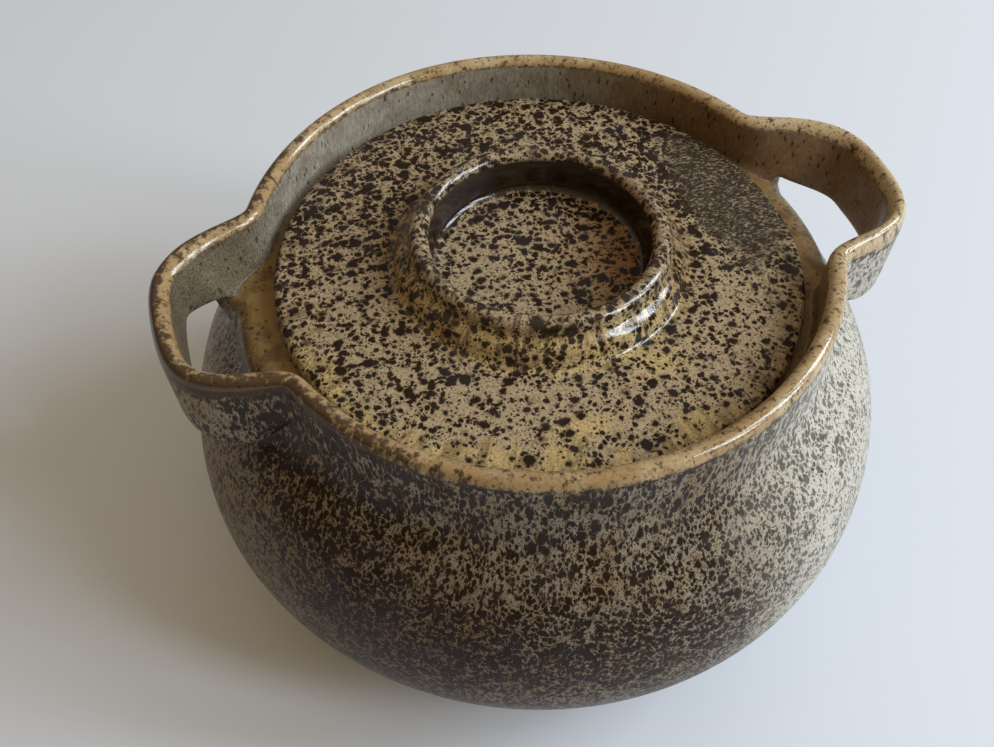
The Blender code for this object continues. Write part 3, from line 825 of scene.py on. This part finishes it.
class GlazeNodes(NodeBench):
    """Builds the material of one glaze on the object's own coordinates."""

    def __init__(self, name):
        self.material = bpy.data.materials.new(name)
        self.material.use_nodes = True
        super().__init__(self.material.node_tree)
        self.shader = self.tree.nodes["Principled BSDF"]
        self.place = self.node("ShaderNodeTexCoord").outputs["Object"]
        self.x, self.y, self.z = self.node("ShaderNodeSeparateXYZ", {0: self.place}).outputs

    def layers(self, *names):
        """Floats that the mesh carries."""
        return [self.node("ShaderNodeAttribute", attribute_name=name).outputs["Fac"] for name in names]

    def ramp(self, name, value):
        """The value eased over a named ramp."""
        return self.span(value, *RAMPS[name])

    def wash(self, name, where, under, over):
        """A named wash of one glaze over another."""
        return self.blend(self.times(where, WASHES[name]), under, over)

    def stretch(self, place, factors):
        """Scale the coordinates."""
        return self.vector("MULTIPLY", (place, factors))

    def warp(self, place, scale, amount):
        """Push the coordinates about by a noise."""
        cloud = self.node("ShaderNodeTexNoise", {"Vector": place, "Scale": scale, "Detail": 1.0})
        shift = self.vector("ADD", (cloud.outputs["Color"], (-0.5, -0.5, -0.5)))
        return self.vector("ADD", (place, self.stretch(shift, (amount, amount, amount))))

    def noise(self, name, place=None, fine=1.0):
        """A named noise from 0 to 1."""
        kind = NOISES[name]
        place = self.place if place is None else place
        if kind.stretch:
            place = self.stretch(place, kind.stretch)
        inputs = {"Vector": place, "Scale": kind.scale * fine, "Detail": kind.detail,
                  "Roughness": kind.roughness}
        return self.node("ShaderNodeTexNoise", inputs).outputs["Fac"]

    def mask(self, name, place=None):
        """A named noise eased over its span, between its values."""
        kind = NOISES[name]
        return self.span(self.noise(name, place), *kind.span, *kind.values)

    def level(self, name, place=None):
        """A named noise that goes straight from its first value to its second."""
        low, high = NOISES[name].values
        return self.scaled(self.noise(name, place), high - low, low)

    def drops(self, place, scale, reach, vary=0.5):
        """Above 0 inside scattered round drops that are about reach cells wide."""
        cells = self.node("ShaderNodeTexVoronoi", {"Vector": place, "Scale": scale})
        size = self.scaled(cells.outputs["Color"], vary, 1 - vary / 2)
        return self.calc("SUBTRACT", reach, self.times(cells.outputs["Distance"], size))

    def specks(self, name, place):
        """Single specks on a smooth glaze."""
        warp_scale, warp_depth, scale, reach, ramp = SPECKS[name]
        return self.span(self.drops(self.warp(place, warp_scale, warp_depth), scale, reach), *ramp)

    def near(self, name):
        """1 in the middle of a named patch, down to 0 at its edge."""
        centre, radii = PATCHES[name]
        ratio = self.vector("DIVIDE", (self.vector("SUBTRACT", (self.place, centre)), radii))
        return self.span(self.vector("LENGTH", (ratio,), "Value"), 1.0, 0.0)

    def speckle(self, place, reach, fine, large, clumping):
        """Dark drops of several sizes that run together as reach grows; fine makes all of them smaller."""
        for scale, depth in DROP_WARPS:
            place = self.warp(place, scale * fine, depth / fine)
        clumps = self.scaled(self.noise("clumps", place, fine), clumping, -clumping / 2)
        reach = self.plus(reach, clumps)
        middle, small, big = (self.drops(place, scale * fine, self.scaled(reach, part, extra), vary)
                              for scale, part, extra, vary in DROPS)
        field = self.most(self.most(middle, small), self.plus(big, large))
        return self.ramp("drops", field), field

    def finish(self, colour, gloss, bare, spots, relief, specular):
        """Join the colour to the shader, with a soft orange peel in which the dark drops are a little sunk.

        Where it is glossy the glaze is smoother and its relief less, and the bare clay is rougher.
        """
        roughness = self.scaled(gloss, -GLOSS_SMOOTHING, SATIN_ROUGHNESS)
        height = self.scaled(self.noise("peel"), PEEL, self.times(spots, -DROP_SINK))
        bump = self.node("ShaderNodeBump", {"Height": self.times(height, self.ramp(relief, gloss)),
                                            "Distance": RELIEF_DEPTH, "Strength": RELIEF_STRENGTH})
        self.fill(self.shader.inputs["Base Color"], colour)
        self.fill(self.shader.inputs["Roughness"], self.scaled(bare, CLAY_ROUGHENING, roughness))
        self.shader.inputs["Specular IOR Level"].default_value = specular
        self.fill(self.shader.inputs["Normal"], bump.outputs["Normal"])
        return self.material


def speckled_colour(nodes, glazes, place, spots, field, ground, grain):
    """Iron drops with a brown halo on the ground colour, with a fine grain in both."""
    dusky = nodes.blend(GRAIN_DARKENING, ground, glazes.halo)
    mottled = nodes.blend(nodes.mask(grain, place), dusky, ground)
    ringed = nodes.blend(nodes.ramp("halo", field), mottled, glazes.halo)
    iron = nodes.blend(nodes.mask("plum", place), glazes.iron, glazes.plum)
    return nodes.blend(spots, ringed, iron)


def flowing_place(nodes):
    """Coordinates that stretch the pattern downwards, most of all on the steep neck and handles."""
    steep = nodes.most(nodes.calc("SUBTRACT", nodes.z, FLOW_START), 0.0)
    flow = nodes.scaled(steep, -FLOW_STEEP, nodes.times(nodes.z, FLOW_ROUND))
    return nodes.node("ShaderNodeCombineXYZ", {0: nodes.x, 1: nodes.y, 2: flow}).outputs[0]


def bowl_colour(nodes, glazes, flowing):
    """Dense fine speckle on the bowl, darkest at the front, browner on the left (partly painted shade) and
    pale on the right (partly painted sheen).
    """
    # The right side turns pale: partly thin glaze, partly painted sheen and light from the window.
    pale = nodes.ramp("bowl_pale_and_sheen", nodes.scaled(nodes.noise("bowl_tints"), PALE_WANDER, nodes.x))
    pale = nodes.times(pale, nodes.ramp("bowl_pale_and_sheen_end", nodes.x))
    reach = nodes.plus(nodes.mask("bowl_patches"), nodes.level("bowl_bands"))
    reach = nodes.scaled(nodes.near("bowl_dark"), nodes.level("bowl_wisps"), reach)
    reach = nodes.scaled(nodes.near("bowl_purple"), COVER["bowl_purple"], reach)
    reach = nodes.scaled(pale, COVER["bowl_pale_and_sheen"], reach)
    for ramp in ("bowl_left", "bowl_far_left"):
        reach = nodes.plus(reach, nodes.ramp(ramp, nodes.x))
    spots, field = nodes.speckle(flowing, reach, **SPECKLES["bowl"])
    ground = nodes.blend(nodes.mask("bowl_tints"), glazes.grey, glazes.tan)
    # The bowl's left and front-left are washed browner: partly browner glaze, partly painted shade on the
    # side away from the window.
    ground = nodes.wash("bowl_brown_and_shade", nodes.near("bowl_brown_and_shade"), ground, glazes.halo)
    ground = nodes.blend(pale, ground, glazes.pale)
    speckled = speckled_colour(nodes, glazes, flowing, spots, field, ground, "bowl_grain")
    sheen_washed = nodes.blend(spots, ground, glazes.ash)
    return nodes.wash("bowl_pale_and_sheen", pale, speckled, sheen_washed), spots


def collar_colour(nodes, glazes, flowing):
    """Inside the collar the glaze is nearly smooth: grey on the left, brown on the right, a few specks."""
    shade = nodes.blend(nodes.ramp("collar_moss", nodes.x), glazes.stone, glazes.moss)
    shade = nodes.blend(nodes.ramp("collar_russet", nodes.x), shade, glazes.russet)
    shade = nodes.blend(nodes.mask("collar_streaks"), shade, glazes.halo)
    shade = nodes.blend(nodes.mask("collar_clouds"), shade, glazes.halo)
    grain = nodes.times(nodes.mask("collar_grain"), nodes.ramp("collar_grain", nodes.x))
    shade = nodes.blend(grain, shade, glazes.umber)
    return nodes.blend(nodes.specks("collar", flowing), shade, glazes.honey_dark)


def gallery_colour(nodes, glazes):
    """Olive-yellow glaze on the gallery, with soft brown clouds and few specks."""
    ground = nodes.blend(nodes.mask("gallery_clouds"), glazes.olive, glazes.halo)
    return nodes.blend(nodes.specks("gallery", nodes.place), ground, glazes.honey_dark)


def edge_colour(nodes, glazes, outward):
    """Honey glaze on the rim, pale in places, with brown mottles that are thickest outside on the left."""
    pale = nodes.times(nodes.mask("edge_pale"), nodes.ramp("edge_pale_left", nodes.x))
    # Towards the right the rim's honey turns pale all along: partly thin glaze, partly painted light on the
    # side facing the window.
    pale = nodes.most(pale, nodes.ramp("edge_pale_and_lit_right", nodes.x))
    honey = nodes.wash("edge_pale", pale, glazes.honey, glazes.honey_pale)
    honey = nodes.blend(nodes.mask("edge_streaks"), honey, glazes.halo)
    side = nodes.times(outward, nodes.ramp("edge_mottled_left", nodes.x))
    mottles = nodes.ramp("edge_mottles", nodes.plus(side, nodes.noise("edge_mottles")))
    honey = nodes.blend(mottles, honey, glazes.honey_dark)
    return nodes.blend(nodes.specks("edge", nodes.place), honey, glazes.iron)


def pot_glaze(glazes, name, specular):
    """The pot's glaze: dense speckle on the bowl, honey on the rim, yellow on the gallery, bare foot."""
    nodes = GlazeNodes(name)
    thin, ledge, inner, clay, outward = nodes.layers("thin", "ledge", "inner", "clay", "outward")
    flowing = flowing_place(nodes)
    colour, spots = bowl_colour(nodes, glazes, flowing)
    colour = nodes.blend(inner, colour, collar_colour(nodes, glazes, flowing))
    colour = nodes.blend(ledge, colour, gallery_colour(nodes, glazes))
    ragged = nodes.times(nodes.level("edge_ragged"), nodes.ramp("edge_ragged", outward))
    edge = nodes.plus(thin, ragged)
    bare_edge = nodes.ramp("edge_bare", edge)
    colour = nodes.blend(bare_edge, colour, edge_colour(nodes, glazes, outward))
    blotches = nodes.times(nodes.mask("edge_rust"), nodes.scaled(inner, -RUST_LESS_INSIDE, RUST_OUTSIDE))
    rust = nodes.times(nodes.ramp("rust_starts", edge), nodes.ramp("rust_ends", edge))
    colour = nodes.blend(nodes.times(rust, blotches), colour, glazes.honey_dark)
    colour = nodes.blend(clay, colour, glazes.clay)
    gloss = nodes.most(bare_edge, nodes.times(nodes.most(ledge, inner), GALLERY_GLOSS))
    return nodes.finish(colour, gloss, clay, spots, "pot_relief", specular)


def lid_glaze(glazes, name, specular):
    """The lid's glaze: open speckle on a buff ground, yellow where it pooled, dark where it is thick; painted
    shade and shadow inside the ring knob.
    """
    nodes = GlazeNodes(name)
    wall, flank, crest = nodes.layers("wall", "flank", "crest")
    flat = nodes.node("ShaderNodeCombineXYZ", {0: nodes.x, 1: nodes.y}).outputs[0]
    radius = nodes.vector("LENGTH", (flat,), "Value")
    spoke = nodes.vector("NORMALIZE", (flat,))
    radial = nodes.vector("ADD", (nodes.stretch(spoke, SPOKE_STRETCH),
                                  nodes.stretch(nodes.place, PLACE_STRETCH)))
    runs = nodes.mask("lid_runs", radial)
    dark = nodes.near("lid_dark")

    front = nodes.vector("DOT_PRODUCT", (spoke, LID_FRONT), "Value")
    rimward = nodes.ramp("lid_rim", nodes.plus(radius, nodes.level("lid_wander", radial)))
    pooled = nodes.times(rimward, nodes.ramp("lid_front", front))
    for pool in ("lid_pool", "lid_small_pool"):
        pooled = nodes.most(pooled, nodes.near(pool))

    reach = nodes.scaled(nodes.ramp("lid_rear", nodes.y), COVER["lid_rear"], nodes.mask("lid_patches"))
    reach = nodes.scaled(dark, nodes.level("lid_wisps"), reach)
    reach = nodes.scaled(pooled, COVER["lid_pooled"], reach)
    # More dark drops on the well floor next to the ring's wall: painted shade at the wall's foot.
    reach = nodes.plus(reach, nodes.ramp("well_foot_shade", radius))
    spots, field = nodes.speckle(nodes.place, reach, **SPECKLES["lid"])

    ground = nodes.blend(pooled, glazes.buff, glazes.pool)
    ground = nodes.wash("lid_runs", nodes.times(rimward, runs), ground, glazes.halo)
    ground = nodes.wash("lid_dark", dark, ground, glazes.tan)
    # Warm amber on the right of the well floor inside the ring knob: a painted shadow under the ring's right
    # wall.
    warm_shadow = nodes.times(nodes.near("knob_shadow"), nodes.ramp("knob_inside", radius))
    ground = nodes.blend(warm_shadow, ground, glazes.shadow_amber)
    golden = nodes.blend(nodes.ramp("flank_golden", front), glazes.honey, glazes.pool)
    ground = nodes.wash("flank", flank, ground, golden)
    streaks = nodes.times(nodes.most(flank, crest), nodes.times(runs, nodes.mask("lid_breaks")))
    ground = nodes.wash("flank_streaks", streaks, ground, glazes.umber)
    colour = speckled_colour(nodes, glazes, nodes.place, spots, field, ground, "grain")

    threaded = nodes.warp(nodes.stretch(nodes.place, THREAD_STRETCH), *THREAD_WARP)
    veil = nodes.blend(nodes.mask("lid_threads", threaded), glazes.smoke, glazes.tan)
    thick = nodes.ramp("lid_thick", nodes.plus(nodes.level("lid_thick"), dark))
    colour = nodes.blend(thick, colour, veil)
    # Inside the ring knob the wall is dark umber, near-black iron towards its foot: partly the glaze's own
    # colour, partly painted shade in the ring's hollow.
    ragged = nodes.plus(radius, nodes.level("knob_ragged"))
    smooth = nodes.times(wall, nodes.ramp("knob_wall", ragged))
    height = nodes.plus(nodes.level("knob_wander"), nodes.z)
    wall_shade = nodes.blend(nodes.ramp("knob_foot_shade", height), glazes.iron, glazes.umber)
    colour = nodes.blend(smooth, colour, wall_shade)
    gloss = nodes.most(nodes.most(wall, flank), crest)
    return nodes.finish(colour, gloss, 0.0, spots, "lid_relief", specular)


def lid_outline(lid):
    """The lid's outline: domed top from the middle, ring knob, sloping band, edge and flat underside."""
    outline = Outline()
    half_wall = lid.ring_wall / 2
    inner = lid.ring_inner_radius
    outer = inner + lid.ring_wall
    equator = lid.ring_top - half_wall
    edge_top = lid.top - lid.dome
    well = lid.top - lid.well_depth
    fillet = 0.0034
    corner = 0.0004
    upper = 0.0022
    lower = 0.0012
    outline.add("well", [(0.0, well), (inner - fillet, well)], spacing=0.004)
    outline.add("ring_inner", blend_curve((inner - fillet, well), (inner - corner, well),
                                          (inner - corner / 2, lid.top + fillet)), spacing=0.0009)
    outline.line("ring_inner", (inner, equator), spacing=0.0013)
    outline.add("ring_crest", arc((inner + half_wall, equator), (half_wall, half_wall), 180, 0),
                spacing=0.0012)
    flank = [(outer + out, lid.top + up) for out, up in KNOB_FLANK]
    foot = (lid.ring_foot_radius + KNOB_RUN_OUT, lid.top)
    outline.add("ring_outer", blend_curve((outer, equator), flank[0], flank[1]), spacing=0.0008)
    outline.line("ring_outer", flank[2], spacing=0.0010)
    outline.bend("ring_outer", flank[3], flank[4], spacing=0.0010)
    outline.bend("ring_outer", flank[5], foot, spacing=0.0010)
    middle = ((foot[0] + lid.radius) / 2, lid.top)
    outline.add("plate", blend_curve(foot, middle, (lid.radius - upper, edge_top)), spacing=0.0028)
    outline.add("edge", arc((lid.radius - upper, edge_top - upper), (upper, upper), 90, 0), spacing=0.0009)
    outline.line("edge", (lid.radius, lid.under + lower), spacing=0.0013)
    outline.add("edge", arc((lid.radius - lower, lid.under + lower), (lower, lower), 0, -90),
                spacing=0.0009)
    outline.line("under", (0.0, lid.under), spacing=0.009)
    return outline


class TUREEN_OT_throw_lid(Operator):
    """Throw the lid with its ring knob"""
    bl_idname = "tureen.throw_lid"
    bl_label = "Throw the lid"

    def execute(self, context):
        lid = context.scene.tureen_lid
        outline = lid_outline(lid)
        outline.points.reverse()
        outline.zones.reverse()
        layers = {"wall": within("ring_inner"), "crest": within("ring_crest"), "flank": within("ring_outer")}
        shape = spun(outline, lid.turns, layers)
        paint_glossy(shape, "wall", "crest", "flank")
        plate = as_object("glazed_lid", shape)
        subdivide_surface(plate, 1)
        plate.data.materials.append(lid_glaze(context.scene.tureen_glazes, "lid_glaze", SATIN))
        plate.data.materials.append(lid_glaze(context.scene.tureen_glazes, "knob_glaze", GLOSSY))
        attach(plate, "lid")
        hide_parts("lid_plate", "lid_ring_knob")
        return {"FINISHED"}


class TUREEN_OT_set_studio(Operator):
    """Set the floor, the window light and the camera"""
    bl_idname = "tureen.set_studio"
    bl_label = "Set the studio"

    def execute(self, context):
        studio = context.scene.tureen_studio
        set_floor(studio)
        set_window(studio)
        set_room(studio)
        set_camera(studio, context.scene.tureen_lid)
        context.scene.view_settings.view_transform = "Standard"
        return {"FINISHED"}


def set_floor(studio):
    """A wide pale floor under the pot."""
    shape = bmesh.new()
    bmesh.ops.create_grid(shape, x_segments=2, y_segments=2, size=FLOOR_SIZE)
    floor = as_object("studio_floor", shape)
    material = bpy.data.materials.new("studio_floor")
    material.use_nodes = True
    shader = material.node_tree.nodes["Principled BSDF"]
    shader.inputs["Base Color"].default_value = (*studio.floor, 1.0)
    shader.inputs["Roughness"].default_value = FLOOR_ROUGHNESS
    floor.data.materials.append(material)


def direction_to(azimuth, elevation):
    """The direction of a point that is seen at these angles from the origin."""
    return Vector((math.cos(elevation) * math.cos(azimuth), math.cos(elevation) * math.sin(azimuth),
                   math.sin(elevation)))


def set_window(studio):
    """A window light of three tall panes from the right."""
    direction = direction_to(studio.window_azimuth, studio.window_elevation)
    turned = direction.to_track_quat("Z", "Y")
    centre = direction * studio.window_distance + Vector((0, 0, WINDOW_AIM_HEIGHT))
    for number in range(PANES):
        lamp = bpy.data.lights.new(f"window_pane_{number}", "AREA")
        lamp.shape = "RECTANGLE"
        lamp.size = PANE_WIDTH
        lamp.size_y = PANE_HEIGHT
        lamp.energy = studio.window_power / PANES
        lamp.color = studio.window_colour
        pane = bpy.data.objects.new(lamp.name, lamp)
        bpy.context.scene.collection.objects.link(pane)
        pane.location = centre + turned @ Vector(((number - (PANES - 1) / 2) * PANE_PITCH, 0, 0))
        pane.rotation_euler = turned.to_euler()


def set_room(studio):
    """Soft light from all round: brighter overhead, warm on the left, cool on the right and behind."""
    world = bpy.data.worlds.new("studio")
    bpy.context.scene.world = world
    world.use_nodes = True
    nodes = NodeBench(world.node_tree)
    direction = nodes.node("ShaderNodeTexCoord").outputs["Generated"]
    upward = nodes.node("ShaderNodeSeparateXYZ", {0: direction}).outputs["Z"]
    strength = nodes.span(upward, 0.0, ROOM_TOP, studio.room_low, studio.room_high, "LINEAR")
    side = nodes.vector("DOT_PRODUCT", (direction, COOL_DIRECTION), "Value")
    cool = nodes.span(side, -COOL_SPAN, COOL_SPAN, ease="LINEAR")
    background = world.node_tree.nodes["Background"]
    nodes.fill(background.inputs["Color"], nodes.blend(cool, studio.room_warm, studio.room_cool))
    nodes.fill(background.inputs["Strength"], strength)


def set_camera(studio, lid):
    """Look at the lid from the photograph's place, with the lid's middle at its pixel."""
    lens = bpy.data.cameras.new("camera")
    lens.sensor_fit = "HORIZONTAL"
    lens.sensor_width = SENSOR_WIDTH_MM
    lens.lens = studio.focal_pixels * SENSOR_WIDTH_MM / PHOTO_WIDTH
    lens.clip_start = 0.01
    camera = bpy.data.objects.new("camera", lens)
    bpy.context.scene.collection.objects.link(camera)
    away = direction_to(studio.azimuth - math.pi / 2, studio.elevation)
    target = Vector((0, 0, lid.top - lid.dome))
    ahead = -away
    right = ahead.cross(Vector((0, 0, 1))).normalized()
    up = right.cross(ahead)
    aim = Vector(((studio.lid_pixel_x - PHOTO_WIDTH / 2) / studio.focal_pixels,
                  (PHOTO_HEIGHT / 2 - studio.lid_pixel_y) / studio.focal_pixels, 1.0)).normalized()
    swing = Vector((0, 0, 1)).rotation_difference(aim).to_matrix()
    axes = swing @ Matrix.Rotation(studio.roll, 3, "Z") @ Matrix((right, up, ahead))
    turned = Matrix((axes[0], axes[1], -axes[2])).transposed()
    camera.matrix_world = Matrix.Translation(target + away * studio.distance) @ turned.to_4x4()
    bpy.context.scene.camera = camera


class TUREEN_PT_panel(Panel):
    """The tureen's sizes, colours and steps"""
    bl_idname = "TUREEN_PT_panel"
    bl_label = "Glazed Soup Tureen"
    bl_space_type = "VIEW_3D"
    bl_region_type = "UI"
    bl_category = "Tureen"

    def draw(self, context):
        scene = context.scene
        for title, group in PROPERTY_GROUPS.items():
            box = self.layout.box()
            box.label(text=title.replace("_", " "))
            for name in group.__annotations__:
                box.prop(getattr(scene, title), name)
        for operator in OPERATORS:
            self.layout.operator(operator.bl_idname)


PROPERTY_GROUPS = {
    "tureen_pot": PotSizes,
    "tureen_handles": HandleSizes,
    "tureen_lid": LidSizes,
    "tureen_glazes": GlazeColours,
    "tureen_studio": StudioSettings,
}
OPERATORS = (TUREEN_OT_throw_pot, TUREEN_OT_throw_lid, TUREEN_OT_set_studio)


def register():
    for group in PROPERTY_GROUPS.values():
        bpy.utils.register_class(group)
    for name, group in PROPERTY_GROUPS.items():
        setattr(bpy.types.Scene, name, PointerProperty(type=group))
    for cls in OPERATORS + (TUREEN_PT_panel,):
        bpy.utils.register_class(cls)


def unregister():
    for cls in reversed(OPERATORS + (TUREEN_PT_panel,)):
        bpy.utils.unregister_class(cls)
    for name, group in reversed(PROPERTY_GROUPS.items()):
        delattr(bpy.types.Scene, name)
        bpy.utils.unregister_class(group)


def main():
    register()
    bpy.ops.tureen.throw_pot()
    bpy.ops.tureen.throw_lid()
    bpy.ops.tureen.set_studio()


if __name__ == "__main__":
    main()
